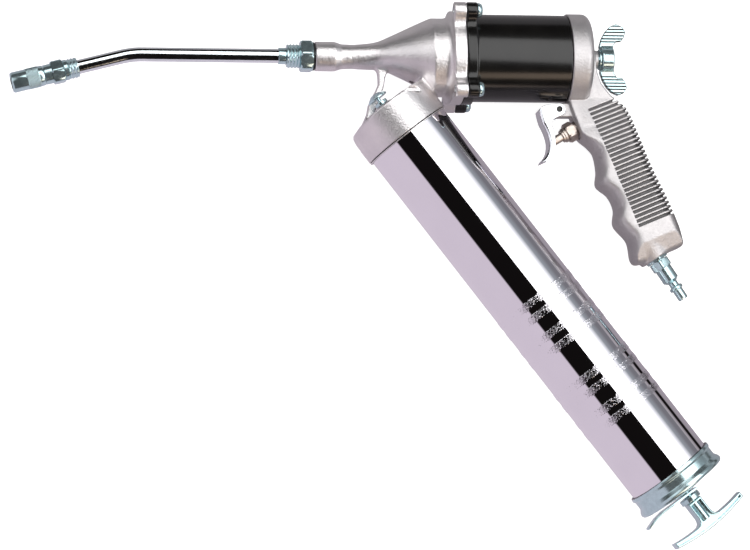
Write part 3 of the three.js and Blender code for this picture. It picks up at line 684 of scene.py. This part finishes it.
TRIGGER_FACE = [(-13, -35.4), (-12.4, -33.6), (-7.2, -29.4, -7.5, -21.5), (-8.2, -15.6, -11.6, -9.6),
                (-13.2, -5, -13.7, -0.9)]
TRIGGER_OUTLINE = polygon(path(
    (-13.7, -0.9), (-11.4, 2.4, -6.6, 3), (-0.6, 3.8), (3.6, 4, 4, 0.4), (3.8, -2.4), (0.2, -4.6),
    (-6.2, -6.6, -5.4, -10.6), (-3, -16, -3, -22), (-3.1, -28.5, -6, -32), *TRIGGER_FACE))
TRIGGER_INSIDE = polygon(path(
    (-12, -1), (-9, 6, -6, 8), (12, 8), (12, -40), (-9, -40), (-9, -33.4), (-5.7, -29.4, -6, -21.5),
    (-6.6, -15, -10, -9.2), (-11.4, -5, -12, -1)))
TRIGGER_FRONT = polygon(path((12, -44), (-15, -44), *TRIGGER_FACE, (-13.7, 14), (12, 14)))


def trigger(x, y, z):
    """A pressed channel with a well rounded finger face."""
    solid = slab(TRIGGER_OUTLINE(x, y), np.abs(z) - 7, 0.5)
    solid = both(solid, slab(TRIGGER_FRONT(x, y), np.abs(z) - 7, 2.6))
    solid = cut(solid, slab(TRIGGER_INSIDE(x, y), np.abs(z) - 5.4, 1.2), 0.2)
    return cut(solid, np.hypot(x, y) - PIN_HOLE_R, 0.3)


WING_EAR = polygon([(166.9, 5), (165.8, 8.4), (167.4, 13.8), (169.9, 18.3), (173.1, 21.8), (177.4, 23.6),
                    (181.6, 22), (183.7, 18.5), (182.5, 14.5), (180.6, 12.2), (177.4, 12), (175.3, 9.4),
                    (174.6, 5)])
SERRATION = 2.1


def wing_screw(x, y, z):
    radius = np.hypot(y, z)
    hub = join(cylinder(x, radius, 151, 167, 3.9, 0.3), cylinder(x, radius, 165.4, 166.6, 6.6, 0.2))
    hub = join(hub, cylinder(x, radius, 166.8, 174.8, 8.3, 0.9))
    hub = cut(hub, cylinder(x, radius, 173.6, 180, 3.4, 0.3), 0.3)
    ear = slab(WING_EAR(x, np.abs(y)), np.abs(z) - 2.2, 0.8)
    groove = np.maximum(np.abs((y / SERRATION % 1) - 0.5) * SERRATION - 0.36, 1.15 - np.abs(z))
    return join(hub, cut(ear, np.maximum(groove, 10.5 - np.abs(y)), 0.2), 1.2)


# True in the serrations of the wing screw's ears, which are painted dark as shade
def in_serration_shade(x, y, z):
    return (np.abs((y / SERRATION % 1) - 0.5) * SERRATION < 0.46) & (np.abs(y) > 10.7) & (np.abs(z) < 1.95)


T_OUTLINE = polygon(path(
    (361, -5.2), (371, -5.2), (376.4, -5.2, 376.2, -10.2), (376.2, -19, 374.6, -27.4), (378.6, -27.4),
    (381.6, -12, 381.6, 0), (381.6, 12, 378.6, 27.4), (374.6, 27.4), (376.2, 19, 376.2, 10.2),
    (376.4, 5.2, 371, 5.2), (361, 5.2)))


def t_handle(x, y, z):
    outline = T_OUTLINE(x, y)
    solid = slab(outline, np.maximum(-5 - z, z - 5.2), 1.1)
    pocket = np.maximum(outline + 1.3, 1.2 - z)
    return cut(solid, pocket, 0.2)


LOCK_SIDE = polygon([(355, 7), (356.4, 7), (355.6, -12), (355.2, -20), (355.7, -26), (357.8, -34.4),
                     (356.5, -34.9), (354.4, -26.4), (353.8, -20), (354.2, -12)])
LOCK_TOP = polygon(path((7, -5.4), (7, 5.4), (-12, 5.4), (-30, 4.4), (-35.2, 4.4, -35.2, 0),
                        (-35.2, -4.4, -30, -4.4), (-12, -5.4)))


def rod_lock(x, y, z):
    solid = slab(LOCK_SIDE(x, y), LOCK_TOP(y, z), 0.25)
    return cut(solid, np.hypot(y, z) - 3.9, 0.2)


def coupler_jaw(turned):
    """One of four jaws: a quarter ring with a hooked nose that grips under a fitting's head."""
    def distance(x, y, z):
        radius = np.hypot(y, z)
        ring = both(cylinder(x, radius, 63.5, 70.9, 4.55, 0.4), np.where(x > 69, 2.6, 3.1) - radius)
        c, s = cos(turned), sin(turned)
        u, v = y * c + z * s, z * c - y * s
        return both(ring, np.maximum(0.45 - u, 0.45 - v), 0.2)
    return distance


# ---------------------------------------------------------------- the castings and stampings

casting("pump_head", "gun", "cast_aluminium", ALUMINIUM, GUN, pump_head, (-21, -71, -32), (75, 32, 32), 0.5)
# the grooves between the grip's ribs take the darker aluminium: painted shade
casting("handle", "gun", "cast_aluminium", HANDLE_ALUMINIUM, GUN, handle, (132, -140, -30), (218, 30, 30),
        0.5, second=(GROOVE_SHADE_ALUMINIUM, in_groove_shade))
casting("motor_cylinder", "gun", "black_enamel", ENAMEL, GUN, motor_cylinder, (74, -32, -32),
        (143, 32, 32), 0.5)
casting("trigger", "trigger", "trigger_chrome", TRIGGER_CHROME, LEVER, trigger, (-14, -36, -7),
        (5, 4, 7), 0.25)
# the serrations take the dark steel: painted shade in the grooves
casting("wing_screw", "wing_screw", "zinc_plate", ZINC["motor"], GUN, wing_screw, (151, -24, -9),
        (184, 24, 9), 0.25, second=(BLACKED_STEEL_AND_SHADE, in_serration_shade))
casting("t_handle", "follower", "zinc_plate", ZINC["barrel"], BARREL, t_handle, (360, -28, -5),
        (382, 28, 6), 0.3)
casting("rod_lock", "rod_lock", "zinc_plate", ZINC["barrel"], BARREL, rod_lock, (353, -36, -6),
        (359, 8, 6), 0.22)
for number in range(4):
    casting(f"coupler_jaw_{number + 1}", "coupler_jaws", "tool_steel", TOOL_STEEL, TIP,
            coupler_jaw(number * pi / 2), (63, -5, -5), (71, 5, 5), 0.2)

# ---------------------------------------------------------------- turned pieces


def lathed(name, body, slot, material, place, points, segments=96, sharp=32, **more):
    return piece(name, body, slot, material, place, *turn(points, segments), sharp=sharp, **more)


TUBE_START_X, TUBE_TAIL = -33, 48     # its end in the outlet, and its length past the bend's corner
TUBE_R, TUBE_BORE_R = 4.55, 2.0


def tube():
    """The delivery tube: straight, one bend, then straight to the coupler."""
    angle = radians(TUBE_BEND_ANGLE)
    tangent = TUBE_BEND_R * tan(angle / 2)
    first = TUBE_START_X - (TUBE_BEND_X + tangent)
    stations = [(TUBE_START_X - first * t, 0, 0) for t in np.linspace(0, 1, 12)]
    for a in np.linspace(0, angle, 20)[1:]:
        stations.append((TUBE_BEND_X + tangent - TUBE_BEND_R * sin(a), TUBE_BEND_R * (cos(a) - 1), a))
    x, y, _ = stations[-1]
    for t in np.linspace(0, TUBE_TAIL - tangent, 8)[1:]:
        stations.append((x - t * cos(angle), y - t * sin(angle), angle))
    sides = 48
    section = np.arange(sides) * 2 * pi / sides
    vertices, faces = [], []
    for radius in (TUBE_R, TUBE_BORE_R):
        for x, y, a in stations:
            across = radius * np.sin(section)
            vertices += list(zip(x - across * sin(a), y + across * cos(a), radius * np.cos(section)))
    rows = len(stations)
    for k in range(2 * rows):
        for i in range(sides):
            j = (i + 1) % sides
            if k < rows - 1:
                faces.append([k * sides + i, k * sides + j, (k + 1) * sides + j, (k + 1) * sides + i])
            elif rows <= k < 2 * rows - 1:
                faces.append([k * sides + j, k * sides + i, (k + 1) * sides + i, (k + 1) * sides + j])
            elif k == rows - 1:
                inner = (2 * rows - 1) * sides
                faces.append([k * sides + i, k * sides + j, inner + j, inner + i])
            else:
                faces.append([j, i, rows * sides + i, rows * sides + j])
    return piece("delivery_tube", "gun", "chrome_plate", TUBE_CHROME, GUN, *outward(vertices, faces))


tube()
lathed("tube_collar", "gun", "zinc_plate", ZINC["motor"], GUN,
       [(-44, 4.75, 0.2), (-44, 5.3, 0.4), (-39.2, 5.3, 0.4), (-39.2, 4.75, 0.2)])
lathed("outlet_adapter", "gun", "zinc_plate", ZINC["motor"], GUN,
       [(-38.9, 4.85), (-38.9, 6.6), *thread(-38.8, -30.2, 7.8, 0.75, 2.1, 0.8),
        (-30.1, hexagon(18.8, 9.6)), (-29.2, hexagon(18.8, 10.6)), (-23.2, hexagon(18.8, 10.6)),
        (-22.1, hexagon(18.8, 9.5)), (-22.1, 6.4), (-13, 6.4), (-13, 4.2), (-29, 4.2), (-29, 2.2),
        (-32.7, 2.2), (-32.7, 4.85)], 120)
lathed("outlet_o_ring", "gun", "black_rubber", RUBBER, GUN,
       [(-21.4 + 0.5 * cos(a), 8 + 1.2 * sin(a)) for a in np.arange(16) * pi / 8])
KNURL_BANDS = (197.7, 206.3, 220.3, 229.8, 255.8, 264.6, 278.3, 287.3)
KNURL_REACH = 2.75            # each way from a band's middle
lathed("reservoir_barrel", "gun", "chrome_plate", BARREL_CHROME, BARREL,
       [(49.3, BARREL_BORE_R), (49.3, BARREL_R),
        *[row for band in KNURL_BANDS for row in knurl(
            band - KNURL_REACH, band + KNURL_REACH, BARREL_R, 0.22, 144, 1.3, 0.22, 0.4, 0.8)],
        (347, BARREL_R), (347, BARREL_BORE_R)], 576, sharp=60)
# the groove floor inside the lip takes the dark steel: painted shade in the groove
lathed("cap_lip", "gun", "cast_aluminium", ALUMINIUM, BARREL,
       [(62.8, 28.7), (62.8, 28.95), (64.35, 28.95), (64.35, 30.15, 0.1), (64.9, 30.15, 0.25),
        (64.9, 28.7, 0.2)], 144, node="pump_head",
       second=(BLACKED_STEEL_AND_SHADE, lambda x, y, z: np.hypot(y, z) < 29.2))
# its end face at the seam with the barrel takes the dark steel: painted shade in the seam
lathed("end_cap", "gun", "zinc_plate", ZINC["barrel"], BARREL,
       [(336.5, 28.8), (336.5, 30.2, 0.4), (338.6, 30.5, 0.5), (340, 29.5, 0.6), (345, 29.6, 0.8),
        (347.4, 31.2, 0.8), (349, 31.6, 0.9), (350.6, 30.8, 0.9), (351.6, 22, 2), (353.4, 10, 2),
        (353.4, 3.6), (352.2, 3.6), (352.2, 10, 1.5), (350.2, 22, 1.5), (348.8, 28.8, 0.5)], 144,
       second=(BLACKED_STEEL_AND_SHADE, lambda x, y, z: x < 336.75))
lathed("rod_collar", "gun", "zinc_plate", ZINC["barrel"], BARREL,
       [(357, 3.5, 0.2), (357, 7.1, 0.5), (360.4, 7.1, 0.5), (360.4, 3.5, 0.2)])
lathed("bleeder_body", "gun", "zinc_plate", ZINC["barrel"],
       BARREL @ Matrix.Translation((0, *BLEEDER)),
       [(37.2, 1.6), (37.2, 4.4, 0.4), (39.5, 4.4, 0.3), (39.5, 3.1), (46.2, 3.1, 0.3), (46.2, 1.6)])
lathed("bleeder_button", "bleeder_button", "zinc_plate", ZINC["barrel"],
       BARREL @ Matrix.Translation((0, *BLEEDER)),
       [(31.2, 0), (31.4, 3.2, 0.8), (32.4, 4.8, 0.4), (33.9, 6.9, 0.5), (35, 6.9, 0.4), (35, 1.3),
        (44.4, 1.3), (44.4, 0)])
lathed("follower_rod", "follower", "zinc_plate", ZINC["barrel"], BARREL,
       [(51, 0), (51, 3.2, 0.6), (375.6, 3.2, 0.6), (375.6, 0)], 48)
lathed("valve_nut", "gun", "nickel_plate", NICKEL, VALVE,
       [(-16.5, 3.1), (-16.5, 4.5, 0.3), (-2.9, 4.5), (-2.8, hexagon(11.8, 6.2, 30)),
        (-2.3, hexagon(11.8, 6.7, 30)), (2.1, hexagon(11.8, 6.7, 30)), (2.9, hexagon(11.8, 6, 30)),
        (2.9, 4.2), (3.4, 4.2), (3.5, 4.9, 0.2), (5, 4.9, 0.2), (5.1, 4.2), (6.4, 4.2, 0.3),
        (6.4, 3.1, 0.2)])
lathed("valve_stem", "air_valve", "nickel_plate", NICKEL, VALVE,
       [(-20, 0), (-20, 4.2, 0.3), (-17.3, 4.2, 0.3), (-17.3, 2.8), (13.8, 2.8, 0.5), (14.6, 2.1, 0.3),
        (14.6, 0)], 48)
lathed("inlet_bushing", "gun", "zinc_plate", ZINC["inlet"], INLET,
       [(-17, 5), (-17, 6.3, 0.3), (-4.8, 6.3), (-4.7, hexagon(13.6, 7.6)),
        (-2.9, hexagon(13.6, 7.6)), (-2.3, hexagon(13.6, 6.9)), (-2.3, 5)])
lathed("air_plug", "gun", "zinc_plate", ZINC["inlet"], INLET,
       [(-14, 1.9), (-14, 4.7, 0.4), (-2, 4.7), (-2, hexagon(12.7, 6.4, 12)),
        (-1.5, hexagon(12.7, 7, 12)), (3, hexagon(12.7, 7, 12)), (3.6, hexagon(12.7, 6.2, 12)),
        (3.6, 5.4), (12.6, 5.4), (14, 3.6),
        (14.6, 3), (17.2, 3), (18, 4.4), (18.3, 4.5), (19.6, 4.5), (20.2, 3.3), (26.6, 3.3),
        (27.4, 2.8), (27.4, 1.9)])
lathed("trigger_pin", "gun", "tool_steel", BLACKED_STEEL_AND_SHADE, LEVER @ Matrix.Rotation(-pi / 2, 4, "Y"),
       [(-6.3, 0), (-6.3, 1.55, 0.3), (6.3, 1.55, 0.3), (6.3, 0)], 32)
for number, (side, up) in enumerate([(1, 1), (1, -1), (-1, -1), (-1, 1)]):
    lathed(f"flange_screw_{number + 1}", "gun", "zinc_plate", ZINC["motor"],
           GUN @ Matrix.Translation((0, side * LUG_OFFSET, up * LUG_OFFSET)),
           [(66.6, 0), (66.6, 2.4, 0.3), (81.5, 2.4), (81.5, 4.7, 0.2), (82.6, 4.7, 0.9),
            (84.2, 4, 0.9), (84.8, 2.4, 0.3), (84.8, 1.7), (83.4, 1.4), (83.2, 0)], 48)
lathed("coupler_sleeve", "coupler_sleeve", "zinc_plate", ZINC["tip"], TIP,
       [(57.4, 4.9), (57.4, 6.2), (58, 6.5), (60.1, 6.55),
        *knurl(60.3, 68.4, 6.5, 0.3, 40, 1.6, 0.2, 0.3), (68.6, 6.55), (77.2, 6.6), (78, 6.2), (78.4, 5.7),
        (78.4, 4.7), (78.1, 4.6), (71.2, 4.6), (71.2, 4.9)], 240)
lathed("coupler_body", "gun", "zinc_plate", ZINC["tip"], TIP,
       [(44.6, 4.85), (44.6, hexagon(14, 7.2)), (45.2, hexagon(14, 7.8)), (51.5, hexagon(14, 7.8)),
        (52.1, hexagon(14, 7.2)), (52.1, 6.35), (56.8, 6.3), (57.1, 6), (57.1, 4.2), (52.4, 4.2),
        (52.4, 1.8), (48.4, 1.8), (48.4, 4.85)])
lathed("tube_nut", "gun", "zinc_plate", ZINC["tip"], TIP,
       [(35.2, 4.85), (35.2, 5.7), *thread(35.3, 41.6, 6.65, 0.6, 2.1, 0.6), (41.8, 6.4), (42, 6.6),
        (44, 6.6), (44.3, 6.3), (44.3, 4.85)])

# springs
coil("check_spring", GUN, 2.6, 0.45, -28.6, -19.6, 4)
coil("piston_spring", GUN, 14, 1.3, 62.4, 125.7, 7)
coil("valve_spring", VALVE, 2.9, 0.45, -30.7, -23.1, 4)
coil("follower_spring", BARREL, 20, 1.2, 68.6, 349.8, 15)
coil("coupler_spring", TIP, 3.4, 0.5, 52.8, 60.1, 4)
lathed("rod_lock_spring", "gun", "tool_steel", TOOL_STEEL, BARREL,
       [(353.45, 3.9), (353.45, 4.6, 0.1), (353.9, 4.6, 0.1), (353.9, 3.9)], 64)

CARRIED = {
    "check_ball": TOOL_STEEL, "plunger_packing": RUBBER, "head_gasket": RUBBER,
    "air_piston": ALUMINIUM, "piston_seal": RUBBER, "pump_plunger": BARREL_CHROME,
    "rear_seal": RUBBER, "barrel_gasket": RUBBER,
    "follower_nut": ZINC["barrel"], "follower_plate_front": ZINC["barrel"], "follower_cup": RUBBER,
    "follower_plate_rear": ZINC["barrel"], "coupler_seal": RUBBER, "valve_seal": RUBBER,
}
for name, material in CARRIED.items():
    mesh = frame["nodes"][name].data
    mesh.materials.clear()
    mesh.materials.append(material)

# ---------------------------------------------------------------- studio

LAVENDER = (0.7, 0.625, 0.71)
DARK = (0.006, 0.005, 0.005)
ACROSS_BARREL = (0.7965, 0.6046, 0)
# painted light and shade that reflections see on the floor, by distance in metres across the barrel from
# the row's origin, with a black band of painted shadow between lavender and grey
FLOOR_PAINTED_LIGHT = [(-0.1, LAVENDER), (0.03, LAVENDER), (0.1, (0.38, 0.34, 0.385)), (0.195, (0.36, 0.33, 0.36)),
               (0.215, DARK), (0.34, DARK), (0.38, (0.3, 0.275, 0.3)), (0.6, (0.32, 0.3, 0.32))]
# painted light: the floor glows paler past the motor
FLOOR_PAINTED_LIGHT_BEHIND = (0.16, 0.18, (0.42, 0.4, 0.42))     # paler past the motor, between these values of Y


def floor():
    """White to the camera. To reflections it glows with painted light and shade: lavender that darkens
    across the barrel to a black band of painted shadow, with grey beyond it."""
    reach = 6
    drop = 0.0004
    mesh = bpy.data.meshes.new("floor")
    mesh.from_pydata([(-reach, -reach, 0), (reach, -reach, 0), (reach, reach, 0), (-reach, reach, 0)],
                     [], [(0, 1, 2, 3)])
    obj = bpy.data.objects.new("floor", mesh)
    bpy.context.scene.collection.objects.link(obj)
    obj.location.z = -drop
    material = bpy.data.materials.new("floor")
    material.use_nodes = True
    tree = material.node_tree
    tree.nodes.clear()
    out = tree.nodes.new("ShaderNodeOutputMaterial")
    mix = tree.nodes.new("ShaderNodeMixShader")
    seen = tree.nodes.new("ShaderNodeAddShader")
    paths = tree.nodes.new("ShaderNodeLightPath")
    white = tree.nodes.new("ShaderNodeEmission")
    white.inputs["Strength"].default_value = 0.92
    paper = tree.nodes.new("ShaderNodeBsdfDiffuse")
    paper.inputs["Color"].default_value = (0.5, 0.5, 0.5, 1)
    # what reflections see: a glow of painted light and shade, set by place on the floor
    painted_glow = tree.nodes.new("ShaderNodeEmission")
    place = tree.nodes.new("ShaderNodeTexCoord")
    across = tree.nodes.new("ShaderNodeVectorMath")
    across.operation = "DOT_PRODUCT"
    across.inputs[1].default_value = ACROSS_BARREL
    slope = tree.nodes.new("ShaderNodeMapRange")
    slope.inputs["From Min"].default_value = FLOOR_PAINTED_LIGHT[0][0]
    slope.inputs["From Max"].default_value = FLOOR_PAINTED_LIGHT[-1][0]
    tint = tree.nodes.new("ShaderNodeValToRGB")
    span = FLOOR_PAINTED_LIGHT[-1][0] - FLOOR_PAINTED_LIGHT[0][0]
    for number, (distance, colour) in enumerate(FLOOR_PAINTED_LIGHT):
        stops = tint.color_ramp.elements
        if number == 0:
            stop = stops[0]
        elif number == len(FLOOR_PAINTED_LIGHT) - 1:
            stop = stops[-1]
        else:
            stop = stops.new((distance - FLOOR_PAINTED_LIGHT[0][0]) / span)
        stop.color = (*colour, 1)
    split = tree.nodes.new("ShaderNodeSeparateXYZ")
    past = tree.nodes.new("ShaderNodeMapRange")
    past.inputs["From Min"].default_value, past.inputs["From Max"].default_value = FLOOR_PAINTED_LIGHT_BEHIND[:2]
    behind = tree.nodes.new("ShaderNodeMix")
    behind.data_type = "RGBA"
    behind.inputs["B"].default_value = (*FLOOR_PAINTED_LIGHT_BEHIND[2], 1)
    link = tree.links.new
    link(place.outputs["Object"], split.inputs[0])
    link(split.outputs["Y"], past.inputs["Value"])
    link(past.outputs["Result"], behind.inputs["Factor"])
    link(tint.outputs["Color"], behind.inputs["A"])
    link(place.outputs["Object"], across.inputs[0])
    link(across.outputs["Value"], slope.inputs["Value"])
    link(slope.outputs["Result"], tint.inputs["Fac"])
    link(behind.outputs["Result"], painted_glow.inputs["Color"])
    link(white.outputs[0], seen.inputs[0])
    link(paper.outputs[0], seen.inputs[1])
    link(paths.outputs["Is Camera Ray"], mix.inputs["Fac"])
    link(painted_glow.outputs[0], mix.inputs[1])
    link(seen.outputs[0], mix.inputs[2])
    link(mix.outputs[0], out.inputs["Surface"])
    mesh.materials.append(material)


def softbox(name, along, across, height, turned, radiance, colour):
    """A rectangular softbox that faces the floor: its reach in metres along and across an axis through
    the row's origin, turned degrees from X."""
    light = bpy.data.lights.new(name, "AREA")
    light.shape = "RECTANGLE"
    light.size, light.size_y = along[1] - along[0], across[1] - across[0]
    light.energy = radiance * pi * light.size * light.size_y
    light.color = colour
    obj = bpy.data.objects.new(name, light)
    rotation = Matrix.Rotation(radians(turned), 4, "Z")
    obj.matrix_world = rotation @ Matrix.Translation((sum(along) / 2, sum(across) / 2, height))
    obj.visible_camera = False
    bpy.context.scene.collection.objects.link(obj)


def world():
    """White to the camera. Reflections see a dark studio, a lavender wall on the left, a white card
    above it, and a pale sweep that fades towards the horizon on the right."""
    studio = bpy.data.worlds.new("studio")
    bpy.context.scene.world = studio
    studio.use_nodes = True
    tree = studio.node_tree
    place = tree.nodes.new("ShaderNodeTexCoord")

    def towards(axis, low, high):
        """0 to 1 as the direction turns towards an axis."""
        dot = tree.nodes.new("ShaderNodeVectorMath")
        dot.operation = "DOT_PRODUCT"
        dot.inputs[1].default_value = axis
        tree.links.new(place.outputs["Generated"], dot.inputs[0])
        ramp = tree.nodes.new("ShaderNodeMapRange")
        ramp.inputs["From Min"].default_value = low
        ramp.inputs["From Max"].default_value = high
        tree.links.new(dot.outputs["Value"], ramp.inputs["Value"])
        return ramp.outputs["Result"]

    def blend(factor, a, b):
        mix = tree.nodes.new("ShaderNodeMix")
        mix.data_type = "RGBA"
        tree.links.new(factor, mix.inputs["Factor"])
        for socket, colour in (("A", a), ("B", b)):
            if isinstance(colour, tuple):
                mix.inputs[socket].default_value = (*colour, 1)
            else:
                tree.links.new(colour, mix.inputs[socket])
        return mix.outputs["Result"]

    sweep = blend(towards((0, 0, 1), 0.2, 0.45), (0.2, 0.2, 0.22), (0.34, 0.37, 0.4))
    sweep = blend(towards((0, 0, 1), 0.45, 0.68), sweep, (1.5, 1.52, 1.55))
    room = blend(towards((1, 0, 0), 0.35, 0.6), DARK, sweep)
    room = blend(towards([-c for c in ACROSS_BARREL], 0.7, 0.74), room, LAVENDER)
    room = blend(towards((-0.7, 0.2, 0.685), 0.9, 0.97), room, (1.3, 1.3, 1.33))
    paths = tree.nodes.new("ShaderNodeLightPath")
    seen = blend(paths.outputs["Is Camera Ray"], room, (1.0, 1.0, 1.0))
    tree.links.new(seen, tree.nodes["Background"].inputs["Color"])


CAMERA_TARGET = (15.98, -141.68, 0)   # in the gun's axes
TO_CAMERA = (-0.14, -0.14, 0.9802)
CAMERA_ROLL = -1.07
PICTURE_WIDTH, FOCAL_LENGTH = 750, 2900   # both in pixels
PICTURE_SCALE = 1.57          # pixels to a millimetre at the gun
SENSOR = 36


def camera():
    """Looks down at the gun from far off, so that it shows with little perspective."""
    toward = Vector(TO_CAMERA).normalized()
    up = Vector((0, 1, 0))
    up = (up - toward * up.dot(toward)).normalized()
    right = up.cross(toward)
    roll = radians(CAMERA_ROLL)
    right = right * cos(roll) + up * sin(roll)
    up = toward.cross(right)
    target = GUN @ Vector(CAMERA_TARGET)
    data = bpy.data.cameras.new("camera")
    data.sensor_width = SENSOR
    data.lens = SENSOR * FOCAL_LENGTH / PICTURE_WIDTH
    data.clip_end = 20
    obj = bpy.data.objects.new("camera", data)
    obj.matrix_world = Matrix.Translation(target + toward * (FOCAL_LENGTH / PICTURE_SCALE * MM)) @ Matrix(
        (right, up, toward)).transposed().to_4x4()
    bpy.context.scene.collection.objects.link(obj)
    bpy.context.scene.camera = obj


floor()
softbox("key", (-0.75, 0.75), (0.092, 0.7), 0.71, -45, 2.5, (1.0, 1.0, 1.0))
softbox("warm", (0.17, 0.9), (-0.85, -0.4), 0.5, 0, 2.6, (1.0, 0.78, 0.6))
world()
camera()
bpy.context.scene.view_settings.view_transform = "Standard"
